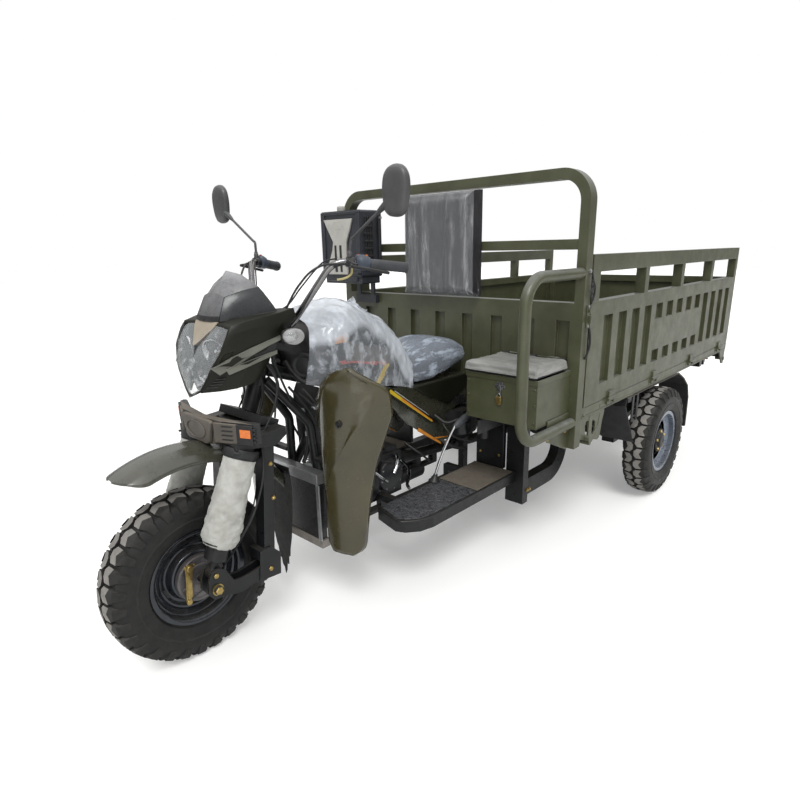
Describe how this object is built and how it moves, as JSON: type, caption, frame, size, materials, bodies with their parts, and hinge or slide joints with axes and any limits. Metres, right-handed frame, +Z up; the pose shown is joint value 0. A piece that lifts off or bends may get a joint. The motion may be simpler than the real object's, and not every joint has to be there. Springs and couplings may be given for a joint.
{
  "type": "cargo tricycle",
  "caption": "Three-wheeled motor tricycle with a leading-link fork, saddle and footboards in front of a steel cargo box with drop sides, and a hooped headboard.",
  "frame": {"origin": "on the floor under the middle of the whole vehicle's bounding box", "axes": "+Z up, the front faces -Y, +X is the rider's left"},
  "size_m": [1.46, 3.795, 1.578],
  "materials": {
    "olive_paint": "satin olive drab paint",
    "black_paint": "satin black paint",
    "silver_paint": "silver blue rim paint",
    "axle_steel": "machined and zinc plated steel",
    "bar_chrome": "chrome plate",
    "cast_engine": "dark cast covers",
    "cast_alloy": "cast aluminium",
    "tyre_rubber": "dusty block tread rubber",
    "black_plastic": "grained black plastic",
    "grey_plastic": "grey brown plastic",
    "lens": "clear lens plastic",
    "seat_vinyl": "black vinyl"
  },
  "bodies": {
    "chassis": {"air_filter": "black_plastic", "backrest": "seat_vinyl", "battery_box": "black_paint", "bed_chassis": "black_paint", "bed_floor": "olive_paint", "body_cover": "olive_paint", "engine": "cast_engine", "exhaust": "bar_chrome", "footboard_left": "black_paint", "footboard_right": "black_paint", "fuel_tank": "olive_paint", "guard_rail": "olive_paint", "headboard": "olive_paint", "leg_shield_left": "olive_paint", "leg_shield_right": "olive_paint", "main_frame": "black_paint", "mudguard_left": "black_paint", "mudguard_right": "black_paint", "propshaft": "black_paint", "radiator": "cast_alloy", "rear_axle": "black_paint", "saddle": "seat_vinyl", "tail_lamps": "black_paint", "tool_box": "olive_paint"},
    "steering": {"fork": "black_paint", "swing_arms": "axle_steel", "shock_left": "grey_plastic", "shock_right": "grey_plastic", "front_fender": "olive_paint", "headlamp_fairing": "olive_paint", "fly_screen": "black_plastic", "headlamp_unit": "lens", "fork_cover": "grey_plastic", "handlebar": "bar_chrome", "mirror_left": "black_plastic", "mirror_right": "black_plastic", "signal_left": "lens", "signal_right": "lens", "cable_left": "black_plastic", "cable_right": "black_plastic"},
    "front_wheel": {"front_tyre": "tyre_rubber", "front_rim": "black_paint"},
    "rear_wheel_left": {"rear_tyre_left": "tyre_rubber", "rear_rim_left": "silver_paint"},
    "rear_wheel_right": {"rear_tyre_right": "tyre_rubber", "rear_rim_right": "silver_paint"},
    "side_gate_left": {"side_gate_left": "olive_paint", "gate_rails_left": "olive_paint"},
    "side_gate_right": {"side_gate_right": "olive_paint", "gate_rails_right": "olive_paint"},
    "tailgate": {"tailgate": "olive_paint"},
    "tool_box_lid": {"tool_box_lid": "seat_vinyl"}
  },
  "joints": [
    {"name": "steering", "type": "hinge", "parent": "chassis", "child": "steering", "pos_m": [0, -1.2295, 1.05], "axis": [0, 0.3746, 0.9272], "range_deg": [-38, 38]},
    {"name": "front_wheel_spin", "type": "hinge", "parent": "steering", "child": "front_wheel", "pos_m": [0, -1.6095, 0.288], "axis": [1, 0, 0], "continuous": true},
    {"name": "rear_wheel_left_spin", "type": "hinge", "parent": "chassis", "child": "rear_wheel_left", "pos_m": [0.662, 0.7105, 0.288], "axis": [1, 0, 0], "continuous": true},
    {"name": "rear_wheel_right_spin", "type": "hinge", "parent": "chassis", "child": "rear_wheel_right", "pos_m": [-0.662, 0.7105, 0.288], "axis": [1, 0, 0], "continuous": true},
    {"name": "side_gate_left_hinge", "type": "hinge", "parent": "chassis", "child": "side_gate_left", "pos_m": [0.6815, 0.8375, 0.655], "axis": [0, 1, 0], "range_deg": [0, 140]},
    {"name": "side_gate_right_hinge", "type": "hinge", "parent": "chassis", "child": "side_gate_right", "pos_m": [-0.6815, 0.8375, 0.655], "axis": [0, -1, 0], "range_deg": [0, 140]},
    {"name": "tailgate_hinge", "type": "hinge", "parent": "chassis", "child": "tailgate", "pos_m": [0, 1.8895, 0.655], "axis": [-1, 0, 0], "range_deg": [0, 175]},
    {"name": "tool_box_lid_hinge", "type": "hinge", "parent": "chassis", "child": "tool_box_lid", "pos_m": [0.475, -0.2785, 0.87], "axis": [-1, 0, 0], "range_deg": [0, 85]}
  ]
}
